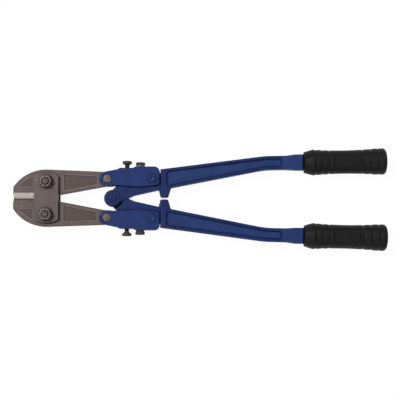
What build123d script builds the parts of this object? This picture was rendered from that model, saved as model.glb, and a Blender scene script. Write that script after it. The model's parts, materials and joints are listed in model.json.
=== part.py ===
from build123d import *
import os
from math import acos, atan2, cos, hypot, pi, radians, sin, tan

# Bolt cutters, 450 mm long, lying flat with the jaws towards -X and the grips towards +X.
# The origin is under the middle of the tool. Lengths are millimetres, angles degrees.

# Plan of the linkage: pivots seen from above, measured along the tool and across it
tip_reach = 40.3          # jaw pivot forward to the jaw tip
jaw_link_run = 73.0       # jaw pivot back to the jaw pin
eye_run = 6.3             # jaw pin back to the handle pivot
jaw_pivot_half = 19.7     # jaw pivots either side of the centre line
jaw_pin_half = 23.4       # jaw pins either side of the centre line

# Clearances
running_clearance = 0.05  # radial, pins and bolts in the holes they turn in
seat_clearance = 0.05     # radial, pins and screws in the holes that hold them
side_gap = 0.2            # between flat faces that slide past each other
blade_gap = 0.15          # each blade and heel from the centre line

# Jaws
jaw_thickness = 12.0
nose_radius = 47.1
nose_center_run = 0.8     # nose arc centre forward of the jaw pivot
nose_half = 34.5          # top of the nose arc from the centre line
tail_radius = 8.4
heel_run = 8.9            # where the heel leaves the centre line, forward of the jaw pivot
heel_round = 30.0
blade_bevel = 6.4         # height of the ground bevel
blade_land = 1.0          # thickness left at the cutting edge
nose_pocket_rim = 5.9
nose_pocket_foot = 13.6   # foot of the nose pocket from the centre line
nose_pocket_back = 16.7   # back of the nose pocket forward of the jaw pivot
tail_panel_front = 20.5   # tail panel measured back from the jaw pivot
tail_panel_length = 39.9
tail_panel_back_rim = 5.8
tail_panel_belly_rim = 4.2
tail_panel_corner = 1.5
jaw_recess_depth = 1.0
jaw_edge_break = 0.8

# Centre plates and their bolts
plate_width = 29.5
plate_half_height = 30.0
plate_corner = 2.0
plate_thickness = 4.5
plate_edge_round = 0.7
bolt_diameter = 8.0
bolt_head_flats = 13.0
bolt_head_height = 5.3
bolt_end_past_nut = 1.2
nut_height = 6.5
hex_chamfer = 0.9
tooth_washer_diameter = 18.0
tooth_washer_thickness = 1.2
tooth_count = 12
tooth_depth = 2.0
tooth_width = 2.6

# Arms: forked links, measured back from the handle pivot
arm_boss_radius = 8.9
arm_waist_run = 5.4
arm_waist_half = 15.4
arm_belly_half = 13.6
arm_tail_half = 16.2
arm_end_run = 56.7
arm_neck_half = 35.0
arm_pad_run = 8.4
arm_pad_rise_run = 2.0
arm_front_pad_half = 36.6
arm_step_run = 24.6
arm_step_length = 3.2
arm_pad_half = 38.3
arm_heel_round = 6.5
arm_tail_round = 3.0
arm_corner_round = 1.6
arm_belly_round = 60.0
cheek_thickness = 3.75
fork_root_gap = 11.0      # from the jaw pin back to the root of the fork
web_thickness = 7.4
arm_edge_round = 1.3
arm_pin_run = 47.6
arm_pin_half = 23.9
arm_pin_diameter = 11.0
arm_pin_proud = 0.8
jaw_pin_diameter = 10.0
jaw_pin_proud = 0.5
pin_chamfer = 0.4

# Screws in the arms
screw_diameter = 6.0
screw_head_flats = 10.0
screw_head_height = 4.0
screw_chamfer = 0.9
adjusting_screw_run = 17.1
adjusting_screw_lift = 4.9   # head above its arm
lock_screw_run = 33.2
lock_screw_depth = 12.0      # thread in the handle
lock_washer_diameter = 10.6
lock_washer_thickness = 1.6

# Handles, measured back from the handle pivot and out from the centre line
eye_radius = 10.2
eye_boss_radius = 9.0
eye_boss_height = 1.0
pivot_pin_diameter = 9.2
pivot_pin_proud = 0.5
pivot_head_radius = 9.8
pivot_head_height = 2.4
open_pivot_clearance = 2.2   # radial, the pin in the lower eye
lap_gap = 0.3                # between the two half laps
lap_relief = 0.4             # between a half lap and the full neck beside it
tongue_thickness = 12.0
tongue_front_run = 10.5
tongue_web_gap = 0.7
neck_front_angle = 45.0
neck_edge_round = 1.0
crotch_run = 18.8
crotch_angle = 24.6
neck_knee_run = 26.0
shank_thickness = 14.0
shank_gap = 0.8              # behind the end of the arm
shank_root_half = 35.3
shank_length = 126.5
stop_front_run = 55.0
stop_front_half = 9.8
stop_back_run = 70.2
stop_back_half = 12.6
stop_tip_front_run = 57.8
stop_tip_back_run = 66.9
stop_gap_half = 1.1
stop_round = 2.4
bend_outer_half = 51.8
bend_width = 16.8
bend_radius = 110.0
waist_length = 25.0
waist_outer_rise = 0.5       # waist further out than the bend
waist_width = 16.9
flare_length = 12.0
paddle_outer_rise = 2.2      # paddle further out than the bend
paddle_width = 19.3
paddle_length = 9.8
paddle_blend = 12.0
panel_front_gap = 8.0        # behind the front of the shank
panel_back_gap = 6.0         # ahead of the waist
panel_rim = 4.4              # at the floor of the panel
panel_depth = 3.0
panel_corner = 2.5
panel_draft = 20.0
shank_edge_round = 2.0

# Grips, measured along their own axis from the front face
grip_splay = 1.1
grip_mouth_radius = 12.6
grip_cone_length = 11.0
grip_front_radius = 15.7
grip_front_length = 36.0     # from the front crest to the waist
grip_waist_radius = 14.1
grip_back_length = 41.0      # from the waist to the back crest
grip_back_radius = 15.9
grip_crown_length = 7.0
grip_end_round = 4.6
groove_count = 3             # at either end
groove_radius = 1.4
groove_depth = 0.65
front_groove_gap = 3.2       # first groove behind the front crest
front_groove_pitch = 8.25
back_groove_gap = 9.6        # last groove ahead of the end
back_groove_pitch = 9.35
tang_width = 16.0
tang_thickness = 9.0
tang_end_cover = 17.6        # rubber behind the end of the tang
tang_root = 6.0
tang_clearance = 0.1
thumb_recess_gap = 3.8       # from the grooves at either end
thumb_recess_width = 10.6
thumb_recess_depth = 1.6

# Places that follow from the sizes above
shank_front_run = arm_end_run + shank_gap
bend_run = shank_front_run + shank_length
waist_run = bend_run + waist_length
paddle_run = waist_run + flare_length
grip_front_run = paddle_run + paddle_length
grip_body_length = grip_cone_length + grip_front_length + grip_back_length + grip_crown_length
grip_length = grip_body_length + grip_end_round
handle_reach = grip_front_run + grip_length * cos(radians(grip_splay))
tool_length = tip_reach + jaw_link_run + eye_run + handle_reach
jaw_pivot_x = tip_reach - tool_length / 2
eye_x = jaw_pivot_x + jaw_link_run + eye_run
plate_seat = jaw_thickness / 2 + side_gap
rest_height = plate_seat + plate_thickness + bolt_head_height
bolt_radius = bolt_diameter / 2
jaw_pin_radius = jaw_pin_diameter / 2
arm_pin_radius = arm_pin_diameter / 2
pivot_pin_radius = pivot_pin_diameter / 2
screw_radius = screw_diameter / 2
fork_half = max(jaw_thickness, tongue_thickness) / 2 + side_gap
arm_half_thickness = fork_half + cheek_thickness
web_foot = arm_pad_half - web_thickness
tongue_top = web_foot - tongue_web_gap
jaw_pin_run = -eye_run
bolt_thread_end = plate_seat + plate_thickness + tooth_washer_thickness + nut_height + bolt_end_past_nut
head_seat = tongue_thickness / 2 + eye_boss_height + side_gap

# Each half of the tool is drawn once: the lower half is the upper one turned over about X
up = (0, 0, 1)
down = (0, 0, -1)
ahead = (1, 0, 0)
jaw_frames = {
    "upper": Plane((jaw_pivot_x, 0, rest_height), ahead, up),
    "lower": Plane((jaw_pivot_x, 0, rest_height), ahead, down),
}
handle_frames = {
    "upper": Plane((eye_x, 0, rest_height), ahead, up),
    "lower": Plane((eye_x, 0, rest_height), ahead, down),
}


def polar(center, radius, angle):
    return (center[0] + radius * cos(angle), center[1] + radius * sin(angle))


def tangent_points(center_a, radius_a, center_b, radius_b, side):
    """Ends of the straight line that touches two circles on the left (1) or right (-1) of a to b."""
    run = center_b[0] - center_a[0]
    rise = center_b[1] - center_a[1]
    normal = atan2(rise, run) + side * acos((radius_a - radius_b) / hypot(run, rise))
    return polar(center_a, radius_a, normal), polar(center_b, radius_b, normal)


def on_line(start, end, x):
    """Height of the line through two points at x."""
    return start[1] + (end[1] - start[1]) * (x - start[0]) / (end[0] - start[0])


def fitted_radii(corners, radii):
    """Corner radii of a closed outline, each held to what the sides next to it leave room for."""
    fitted = []
    for place, radius in enumerate(radii):
        corner = corners[place]
        sides = []
        for other in (corners[place - 1], corners[(place + 1) % len(corners)]):
            sides.append((other[0] - corner[0], other[1] - corner[1]))
        opening = atan2(sides[1][1], sides[1][0]) - atan2(sides[0][1], sides[0][0])
        opening = abs((opening + pi) % (2 * pi) - pi)
        room = 0.45 * min(hypot(*sides[0]), hypot(*sides[1]))
        fitted.append(min(radius, room * tan(opening / 2)))
    return fitted


def rounded_outline(corners, radii):
    """Draw a closed outline with its corners rounded."""
    FilletPolyline(*corners, radius=fitted_radii(corners, radii), close=True)


def across(frame, run, half):
    """Plane at a place in a frame, facing outwards across the tool."""
    return Plane(frame.from_local_coords((run, half, 0)), frame.x_dir, frame.y_dir)


def save(part, name):
    part.label = name
    export_step(part, f"parts/{name}.step")


os.makedirs("parts", exist_ok=True)

# Jaws
pivot = (0, jaw_pivot_half)
jaw_pin = (jaw_link_run, jaw_pin_half)
nose_center = (-nose_center_run, nose_half - nose_radius)
heel_center = (-heel_run, blade_gap + heel_round)
tip_top = nose_center[1] + (nose_radius**2 - (tip_reach - nose_center_run) ** 2) ** 0.5
back = tangent_points(nose_center, nose_radius, jaw_pin, tail_radius, 1)
belly = tangent_points(heel_center, heel_round, jaw_pin, tail_radius, -1)
back_start, back_end = back
heel_end, belly_end = belly
tail_panel_back = tail_panel_front + tail_panel_length
nose_middle = atan2(tip_top - nose_center[1], -tip_reach - nose_center[0])
nose_middle = (nose_middle + atan2(back_start[1] - nose_center[1], back_start[0] - nose_center[0])) / 2
heel_middle = atan2(heel_end[1] - heel_center[1], heel_end[0] - heel_center[0])
heel_middle = (heel_middle - radians(90)) / 2
bevel_back = plate_width / 2 + side_gap

for side, frame in jaw_frames.items():
    with BuildPart() as jaw:
        with BuildSketch(frame):
            with BuildLine():
                Polyline((-heel_run, blade_gap), (-tip_reach, blade_gap), (-tip_reach, tip_top))
                ThreePointArc(
                    (-tip_reach, tip_top),
                    polar(nose_center, nose_radius, nose_middle),
                    back_start,
                )
                Line(back_start, back_end)
                ThreePointArc(back_end, polar(jaw_pin, tail_radius, 0), belly_end)
                Line(belly_end, heel_end)
                ThreePointArc(heel_end, polar(heel_center, heel_round, heel_middle), (-heel_run, blade_gap))
            make_face()
        extrude(amount=jaw_thickness / 2, both=True)
        outline = jaw.faces().sort_by(Axis.Z)
        rim = (outline[0].edges() + outline[-1].edges()).filter_by(GeomType.LINE, reverse=True)
        chamfer(rim.sort_by(SortBy.LENGTH)[-2:], jaw_edge_break)

        # Ground bevels on both faces meet at the cutting edge
        with BuildSketch(Plane(frame.from_local_coords((-bevel_back, 0, 0)), frame.y_dir, -frame.x_dir)):
            for face in (1, -1):
                with BuildLine():
                    Polyline(
                        (0, -face * blade_land / 2),
                        (0, -face * jaw_thickness),
                        (blade_gap + blade_bevel, -face * jaw_thickness),
                        (blade_gap + blade_bevel, -face * jaw_thickness / 2),
                        (blade_gap, -face * blade_land / 2),
                        close=True,
                    )
                make_face()
        extrude(amount=tip_reach, mode=Mode.SUBTRACT)

        # Forged recesses on both faces of the nose and of the tail
        for face in (1, -1):
            floor = frame.offset(face * (jaw_thickness / 2 - jaw_recess_depth))
            with BuildSketch(floor):
                with Locations(nose_center):
                    Circle(nose_radius - nose_pocket_rim)
                with Locations((-nose_pocket_back, nose_pocket_foot)):
                    Rectangle(tip_reach, nose_radius, align=(Align.MAX, Align.MIN), mode=Mode.INTERSECT)
                with BuildLine():
                    FilletPolyline(
                        (tail_panel_front, on_line(*belly, tail_panel_front) + tail_panel_belly_rim),
                        (tail_panel_back, on_line(*belly, tail_panel_back) + tail_panel_belly_rim),
                        (tail_panel_back, on_line(*back, tail_panel_back) - tail_panel_back_rim),
                        (tail_panel_front, on_line(*back, tail_panel_front) - tail_panel_back_rim),
                        radius=tail_panel_corner,
                        close=True,
                    )
                make_face()
            extrude(amount=face * jaw_thickness, mode=Mode.SUBTRACT)

        with BuildSketch(frame):
            with Locations(pivot):
                Circle(bolt_radius + running_clearance)
            with Locations(jaw_pin):
                Circle(jaw_pin_radius + running_clearance)
        extrude(amount=jaw_thickness, both=True, mode=Mode.SUBTRACT)
    save(jaw.part, f"{side}_jaw")


def hexagon(seat, flats, height, corner_chamfer):
    """Add a hexagon that stands on a plane, with its far corners turned off."""
    corner = flats / 3**0.5
    with BuildSketch(seat) as six_sides:
        RegularPolygon(flats / 2, 6, major_radius=False)
    extrude(six_sides.sketch, amount=height)
    with BuildSketch(Plane(seat.origin, seat.x_dir, -seat.y_dir)) as turned_profile:
        with BuildLine():
            Polyline(
                (0, 0),
                (corner, 0),
                (corner, height - corner_chamfer),
                (flats / 2 - corner_chamfer / 2, height),
                (0, height),
                close=True,
            )
        make_face()
    revolve(turned_profile.sketch, axis=Axis(seat.origin, seat.z_dir), mode=Mode.INTERSECT)


# Centre plates, rounded on their outer face
for name, seat, outer_face in (
    ("front_plate", plate_seat, -1),
    ("rear_plate", -plate_seat - plate_thickness, 0),
):
    with BuildPart() as plate:
        with BuildSketch(Plane((jaw_pivot_x, 0, rest_height + seat))) as outline:
            Circle(plate_half_height)
            Rectangle(plate_width, 2 * plate_half_height, mode=Mode.INTERSECT)
            fillet(outline.vertices(), plate_corner)
        extrude(amount=plate_thickness)
        fillet(plate.faces().sort_by(Axis.Z)[outer_face].edges(), plate_edge_round)
        with BuildSketch(Plane((jaw_pivot_x, 0, rest_height + seat))):
            with Locations((0, jaw_pivot_half), (0, -jaw_pivot_half)):
                Circle(bolt_radius + seat_clearance)
        extrude(amount=plate_thickness, mode=Mode.SUBTRACT)
    save(plate.part, name)

# Jaw bolts with their heads at the back, tooth washers and nuts at the front
washer_seat = rest_height + plate_seat + plate_thickness
tooth_root = tooth_washer_diameter / 2 - tooth_depth
for side, half in (("upper", jaw_pivot_half), ("lower", -jaw_pivot_half)):
    head_plane = Plane((jaw_pivot_x, half, bolt_head_height), ahead, down)
    with BuildPart() as bolt:
        hexagon(head_plane, bolt_head_flats, bolt_head_height, hex_chamfer)
        with BuildSketch(Plane((jaw_pivot_x, half, bolt_head_height))):
            Circle(bolt_radius)
        extrude(amount=rest_height + bolt_thread_end - bolt_head_height)
        chamfer(bolt.faces().sort_by(Axis.Z)[-1].edges(), pin_chamfer)
    save(bolt.part, f"{side}_jaw_bolt")

    with BuildPart() as tooth_washer:
        with BuildSketch(Plane((jaw_pivot_x, half, washer_seat))):
            Circle(tooth_root)
            with PolarLocations(tooth_root - tooth_depth, tooth_count):
                Rectangle(2 * tooth_depth, tooth_width, align=(Align.MIN, Align.CENTER))
            Circle(bolt_radius + seat_clearance, mode=Mode.SUBTRACT)
        extrude(amount=tooth_washer_thickness)
    save(tooth_washer.part, f"{side}_tooth_washer")

    with BuildPart() as nut:
        nut_seat = Plane((jaw_pivot_x, half, washer_seat + tooth_washer_thickness))
        hexagon(nut_seat, bolt_head_flats, nut_height, hex_chamfer)
        with BuildSketch(nut_seat):
            Circle(bolt_radius + seat_clearance)
        extrude(amount=nut_height, mode=Mode.SUBTRACT)
    save(nut.part, f"{side}_jaw_nut")

# Arms: forked links with a web along the outside, open towards the jaw
boss = (jaw_pin_run, jaw_pin_half)
arm_pin = (arm_pin_run, arm_pin_half)
arm_neck = (arm_pad_run - arm_pad_rise_run, arm_neck_half)
arm_waist = (arm_waist_run, arm_waist_half)
boss_top = tangent_points(boss, arm_boss_radius, arm_neck, 0, 1)[0]
boss_foot = tangent_points(boss, arm_boss_radius, arm_waist, 0, -1)[0]
arm_outline = [
    boss_top,
    arm_neck,
    (arm_pad_run, arm_front_pad_half),
    (arm_step_run, arm_front_pad_half),
    (arm_step_run + arm_step_length, arm_pad_half),
    (arm_end_run, arm_pad_half),
    (arm_end_run, arm_tail_half),
    ((arm_end_run + arm_waist_run) / 2, arm_belly_half),
    arm_waist,
    boss_foot,
]
arm_rounds = [
    0,
    arm_corner_round,
    arm_corner_round,
    arm_corner_round,
    arm_corner_round,
    arm_heel_round,
    arm_tail_round,
    arm_belly_round,
    arm_corner_round,
    0,
]
fork_root_run = jaw_pin_run + fork_root_gap

for side, frame in handle_frames.items():
    with BuildPart() as arm:
        with BuildSketch(frame):
            with BuildLine():
                rounded_outline(arm_outline, arm_rounds)
            make_face()
            with Locations(boss):
                Circle(arm_boss_radius)
        extrude(amount=arm_half_thickness, both=True)
        fillet(arm.faces().filter_by(Axis.Z).edges(), arm_edge_round)
        with BuildSketch(frame):
            with Locations((fork_root_run, 0)):
                Rectangle(tool_length, tool_length, align=(Align.MAX, Align.CENTER))
                Rectangle(tool_length, 2 * web_foot, align=(Align.MIN, Align.CENTER))
        extrude(amount=fork_half, both=True, mode=Mode.SUBTRACT)
        with BuildSketch(frame):
            with Locations(boss):
                Circle(jaw_pin_radius + seat_clearance)
            with Locations(arm_pin):
                Circle(arm_pin_radius + seat_clearance)
        extrude(amount=2 * arm_half_thickness, both=True, mode=Mode.SUBTRACT)
        for run in (adjusting_screw_run, lock_screw_run):
            with BuildSketch(across(frame, run, web_foot)):
                Circle(screw_radius + running_clearance)
            extrude(amount=web_thickness, mode=Mode.SUBTRACT)
    save(arm.part, f"{side}_arm")

    # Pins, their ends peened just proud of the cheeks
    for name, place, radius, proud in (
        ("jaw_pin", boss, jaw_pin_radius, jaw_pin_proud),
        ("arm_pin", arm_pin, arm_pin_radius, arm_pin_proud),
    ):
        with BuildPart() as pin:
            with BuildSketch(frame):
                with Locations(place):
                    Circle(radius)
            extrude(amount=arm_half_thickness + proud, both=True)
            chamfer(pin.faces().filter_by(Axis.Z).edges(), pin_chamfer)
        save(pin.part, f"{side}_{name}")

    # Screws and the lock washer, standing across the tool
    adjusting_head = arm_front_pad_half + adjusting_screw_lift
    lock_head = arm_pad_half + lock_washer_thickness
    for name, run, head, tip in (
        ("adjusting_screw", adjusting_screw_run, adjusting_head, tongue_top + side_gap),
        ("lock_screw", lock_screw_run, lock_head, tongue_top - lock_screw_depth),
    ):
        with BuildPart() as screw:
            hexagon(across(frame, run, head), screw_head_flats, screw_head_height, screw_chamfer)
            with BuildSketch(across(frame, run, tip)):
                Circle(screw_radius)
            extrude(amount=head - tip)
        save(screw.part, f"{side}_{name}")

    with BuildPart() as lock_washer:
        with BuildSketch(across(frame, lock_screw_run, arm_pad_half)):
            Circle(lock_washer_diameter / 2)
            Circle(screw_radius + running_clearance, mode=Mode.SUBTRACT)
        extrude(amount=lock_washer_thickness)
    save(lock_washer.part, f"{side}_lock_washer")

# Handles: a half-lapped eye, a tongue in the fork, a stop lug and an I-section shank
lean = radians(crotch_angle)
lap_foot = (crotch_run * sin(lean) ** 2, -crotch_run * sin(lean) * cos(lean))
relief_crotch = crotch_run + lap_relief / sin(lean)
relief_foot = (relief_crotch * sin(lean) ** 2, relief_crotch * sin(lean) * cos(lean))
relief_radius = eye_radius + open_pivot_clearance + lap_relief
neck_knee = (neck_knee_run, (neck_knee_run - crotch_run) * tan(lean))
tongue_shoulder_half = eye_radius + tongue_front_run * tan(radians(neck_front_angle))
stop_front = (stop_front_run, stop_front_half)
stop_root = (stop_front_run, stop_front_half + stop_round)
stop_back = (stop_back_run, stop_back_half)
shank_root = (shank_front_run, shank_root_half)
bend_outer = (bend_run, bend_outer_half)
bend_inner = (bend_run, bend_outer_half - bend_width)
waist_outer_half = bend_outer_half + waist_outer_rise
waist_outer = (waist_run, waist_outer_half)
waist_inner = (waist_run, waist_outer_half - waist_width)
paddle_outer_half = bend_outer_half + paddle_outer_rise
paddle_inner_half = paddle_outer_half - paddle_width
grip_axis_half = paddle_outer_half - paddle_width / 2
panel_front_run = shank_front_run + panel_front_gap
panel_back_run = waist_run - panel_back_gap
shank_end_run = grip_front_run - lap_relief
shank_outline = [
    shank_root,
    bend_outer,
    waist_outer,
    (paddle_run, paddle_outer_half),
    (shank_end_run, paddle_outer_half),
    (shank_end_run, paddle_inner_half),
    (paddle_run, paddle_inner_half),
    waist_inner,
    bend_inner,
    stop_back,
    (stop_tip_back_run, stop_gap_half),
    (stop_tip_front_run, stop_gap_half),
    stop_root,
    (shank_front_run, stop_root[1]),
]
shank_rounds = [
    0,
    bend_radius,
    paddle_blend,
    paddle_blend,
    0,
    0,
    paddle_blend,
    paddle_blend,
    bend_radius,
    stop_round,
    stop_round,
    stop_round,
    0,
    0,
]
panel_outline = [
    (panel_front_run, on_line(shank_root, bend_outer, panel_front_run) - panel_rim),
    (bend_run, bend_outer[1] - panel_rim),
    (panel_back_run, on_line(bend_outer, waist_outer, panel_back_run) - panel_rim),
    (panel_back_run, on_line(bend_inner, waist_inner, panel_back_run) + panel_rim),
    (bend_run, bend_inner[1] + panel_rim),
    (panel_front_run, on_line(stop_back, bend_inner, panel_front_run) + panel_rim),
]
panel_rounds = [panel_corner, bend_radius, panel_corner, panel_corner, bend_radius, panel_corner]
eye_bores = {"upper": seat_clearance, "lower": open_pivot_clearance}
splay = radians(grip_splay)
waist_middle = grip_cone_length + grip_front_length
tang_length = grip_length - tang_end_cover


def grip_radius(run):
    """Radius of the grip between its two crests."""
    if run < waist_middle:
        share = (waist_middle - run) / grip_front_length
        return grip_waist_radius + (grip_front_radius - grip_waist_radius) * share**2
    share = min((run - waist_middle) / grip_back_length, 1)
    return grip_waist_radius + (grip_back_radius - grip_waist_radius) * share**2


body_runs = [grip_cone_length + grip_front_length * step / 3 for step in range(4)]
body_runs += [waist_middle + grip_back_length * step / 3 for step in range(1, 4)]
end_center = (grip_body_length, grip_back_radius - grip_end_round)
groove_runs = []
for place in range(groove_count):
    groove_runs.append(grip_cone_length + front_groove_gap + place * front_groove_pitch)
    groove_runs.append(grip_length - back_groove_gap - place * back_groove_pitch)
groove_runs.sort()
recess_front = groove_runs[groove_count - 1] + thumb_recess_gap
recess_back = groove_runs[groove_count] - thumb_recess_gap
recess_middle = (recess_front + recess_back) / 2
thumb_recess_length = recess_back - recess_front

for side, frame in handle_frames.items():
    grip_axis = frame.x_dir * cos(splay) + frame.y_dir * sin(splay)
    grip_mouth = Plane(frame.from_local_coords((grip_front_run, grip_axis_half, 0)), frame.z_dir, grip_axis)
    # Eye, neck and tongue, which the shank joins
    with BuildPart() as tongue:
        with BuildSketch(frame):
            Circle(eye_radius)
            with BuildLine():
                Polyline(
                    (0, eye_radius),
                    (tongue_front_run, tongue_shoulder_half),
                    (tongue_front_run, tongue_top),
                    (stop_tip_front_run, tongue_top),
                    (stop_tip_front_run, on_line(neck_knee, stop_front, stop_tip_front_run)),
                    neck_knee,
                    lap_foot,
                    (0, 0),
                    close=True,
                )
            make_face()
        extrude(amount=tongue_thickness / 2, both=True)
        fillet(tongue.faces().filter_by(Axis.Z).edges(), neck_edge_round)

    with BuildPart() as handle:
        with BuildSketch(frame):
            with BuildLine():
                rounded_outline(shank_outline, shank_rounds)
            make_face()
        extrude(amount=shank_thickness / 2, both=True)
        fillet(handle.faces().filter_by(Axis.Z).edges(), shank_edge_round)

        # Recessed panel on both faces of the shank
        for face in (1, -1):
            with BuildSketch(frame.offset(face * (shank_thickness / 2 - panel_depth))):
                with BuildLine():
                    rounded_outline(panel_outline, panel_rounds)
                make_face()
            extrude(amount=face * panel_depth, taper=-panel_draft, mode=Mode.SUBTRACT)

        add(tongue.part)

        # Half lap: the back half goes where the other handle's eye turns
        with BuildSketch(frame.offset(lap_gap / 2)):
            Circle(relief_radius)
            Polygon(
                relief_foot,
                (relief_crotch, 0),
                (relief_foot[0], -relief_foot[1]),
                align=None,
            )
        extrude(amount=-shank_thickness, mode=Mode.SUBTRACT)
        with BuildSketch(frame.offset(tongue_thickness / 2)):
            Circle(eye_boss_radius)
        extrude(amount=eye_boss_height)

        # Bores, and the tang inside the grip
        with BuildSketch(frame):
            Circle(pivot_pin_radius + eye_bores[side])
            with Locations(arm_pin):
                Circle(arm_pin_radius + seat_clearance)
        extrude(amount=shank_thickness, both=True, mode=Mode.SUBTRACT)
        with BuildSketch(across(frame, lock_screw_run, tongue_top)):
            Circle(screw_radius + running_clearance)
        extrude(amount=-lock_screw_depth - side_gap, mode=Mode.SUBTRACT)
        with BuildSketch(grip_mouth.offset(-tang_root)):
            Rectangle(tang_thickness, tang_width)
        extrude(amount=tang_root + tang_length)
    save(handle.part, f"{side}_handle")

    # Grip: grooved at both ends of a slim waist, with a blank thumb recess on the front
    with BuildPart() as grip:
        with BuildSketch(Plane(grip_mouth.origin, grip_axis, frame.z_dir)):
            with BuildLine():
                Polyline((0, 0), (0, grip_mouth_radius), (grip_cone_length, grip_front_radius))
                Spline(*[(run, grip_radius(run)) for run in body_runs])
                Line((body_runs[-1], grip_back_radius), (grip_body_length, grip_back_radius))
                ThreePointArc(
                    (grip_body_length, grip_back_radius),
                    polar(end_center, grip_end_round, radians(45)),
                    (grip_length, end_center[1]),
                )
                Polyline((grip_length, end_center[1]), (grip_length, 0), (0, 0))
            make_face()
            for run in groove_runs:
                with Locations((run, grip_radius(run) + groove_radius - groove_depth)):
                    Circle(groove_radius, mode=Mode.SUBTRACT)
        revolve(axis=Axis(grip_mouth.origin, grip_axis))
        with BuildSketch(grip_mouth):
            Rectangle(tang_thickness + 2 * tang_clearance, tang_width + 2 * tang_clearance)
        extrude(amount=tang_length + tang_clearance, mode=Mode.SUBTRACT)
        recess_floor = grip_mouth.origin + grip_axis * recess_middle
        recess_floor += Vector(up) * (grip_waist_radius - thumb_recess_depth)
        with BuildSketch(Plane(recess_floor, grip_axis, up)):
            SlotOverall(thumb_recess_length, thumb_recess_width)
        extrude(amount=grip_waist_radius, mode=Mode.SUBTRACT)
    save(grip.part, f"{side}_grip")

# Handle pivot pin: peened in the upper eye, headed behind the lower one
pin_frame = handle_frames["upper"]
pin_end = tongue_thickness / 2 + eye_boss_height + pivot_pin_proud
with BuildPart() as pivot_pin:
    with BuildSketch(pin_frame.offset(-head_seat - pivot_head_height)):
        Circle(pivot_head_radius)
    extrude(amount=pivot_head_height)
    chamfer(pivot_pin.faces().sort_by(Axis.Z)[0].edges(), pin_chamfer)
    with BuildSketch(pin_frame.offset(-head_seat)):
        Circle(pivot_pin_radius)
    extrude(amount=head_seat + pin_end)
    chamfer(pivot_pin.faces().sort_by(Axis.Z)[-1].edges(), pin_chamfer)
save(pivot_pin.part, "handle_pivot_pin")
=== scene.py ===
import json
import math

import bmesh
import bpy
from mathutils import Matrix, Vector
from mathutils import noise as field


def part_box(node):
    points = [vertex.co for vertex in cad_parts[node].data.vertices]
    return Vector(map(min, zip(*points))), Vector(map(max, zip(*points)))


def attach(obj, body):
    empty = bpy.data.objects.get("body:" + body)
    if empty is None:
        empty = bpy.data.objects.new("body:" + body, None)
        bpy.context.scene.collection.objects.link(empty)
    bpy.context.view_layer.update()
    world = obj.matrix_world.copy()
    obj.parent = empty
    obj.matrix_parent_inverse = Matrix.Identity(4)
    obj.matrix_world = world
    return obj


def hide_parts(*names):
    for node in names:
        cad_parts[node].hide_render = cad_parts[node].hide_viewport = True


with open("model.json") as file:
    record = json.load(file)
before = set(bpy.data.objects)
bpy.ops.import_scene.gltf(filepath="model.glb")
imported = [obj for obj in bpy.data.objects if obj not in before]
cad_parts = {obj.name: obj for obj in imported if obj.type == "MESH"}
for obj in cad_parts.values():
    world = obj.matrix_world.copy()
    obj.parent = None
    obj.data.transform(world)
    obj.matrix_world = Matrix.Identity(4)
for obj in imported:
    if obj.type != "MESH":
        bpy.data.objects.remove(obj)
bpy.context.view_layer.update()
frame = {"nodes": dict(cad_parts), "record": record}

scene = bpy.context.scene
nodes = frame["nodes"]
sides = {"upper": 1, "lower": -1}
middleHeight = 0.016     # of jaws and handles alike
heightBlur = (0.0002, -0.0001)    # soft limit of a finish that follows the height
noiseRoughness = 0.55
shadeRays = 8            # for edges and crevices
print("frame loaded:", len(nodes), "nodes")


# Short names for shader work

def addNode(tree, kind, **settings):
    # Settings name the node's properties or, with underscores for spaces, its sockets
    node = tree.nodes.new(kind)
    for key, value in settings.items():
        if hasattr(node, key):
            setattr(node, key, value)
        else:
            node.inputs[key.replace("_", " ")].default_value = value
    return node


def newFinish(name):
    material = bpy.data.materials.new(name)
    material.use_nodes = True
    tree = material.node_tree
    shader = tree.nodes["Principled BSDF"]
    place = addNode(tree, "ShaderNodeTexCoord")
    return material, tree, shader, place.outputs["Object"]


def noise(tree, place, scale, detail=3.0):
    node = addNode(tree, "ShaderNodeTexNoise", Scale=scale, Detail=detail, Roughness=noiseRoughness)
    tree.links.new(place, node.inputs["Vector"])
    return node.outputs["Fac"]


def ramp(tree, value, low, high):
    node = addNode(tree, "ShaderNodeMapRange", interpolation_type="SMOOTHSTEP")
    node.inputs["From Min"].default_value = low
    node.inputs["From Max"].default_value = high
    tree.links.new(value, node.inputs["Value"])
    return node.outputs["Result"]


def mixColor(tree, share, first, second):
    node = addNode(tree, "ShaderNodeMix", data_type="RGBA")
    tree.links.new(share, node.inputs["Factor"])
    for socket, color in ((node.inputs[6], first), (node.inputs[7], second)):
        if isinstance(color, tuple):
            socket.default_value = (*color, 1)
        else:
            tree.links.new(color, socket)
    return node.outputs[2]


def combine(tree, operation, first, second=0.0):
    # Either value is a socket or a number
    node = addNode(tree, "ShaderNodeMath", operation=operation)
    for socket, value in zip(node.inputs, (first, second)):
        if isinstance(value, (int, float)):
            socket.default_value = value
        else:
            tree.links.new(value, socket)
    return node.outputs[0]


def product(tree, first, second):
    return combine(tree, "MULTIPLY", first, second)


def awayFrom(tree, value, middle):
    return combine(tree, "ABSOLUTE", combine(tree, "SUBTRACT", value, middle))


def split(tree, vector):
    node = addNode(tree, "ShaderNodeSeparateXYZ")
    tree.links.new(vector, node.inputs["Vector"])
    return node.outputs


def heightShare(tree, place, half):
    # One nearer than this to the middle height of the tool, such as on forged floors
    away = awayFrom(tree, split(tree, place)["Z"], middleHeight)
    outside, inside = heightBlur
    return ramp(tree, away, half + outside, half + inside)


def patchShare(tree, place, look):
    return ramp(tree, noise(tree, place, look["patches"], look["patchDetail"]), *look["patchSpan"])


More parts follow.
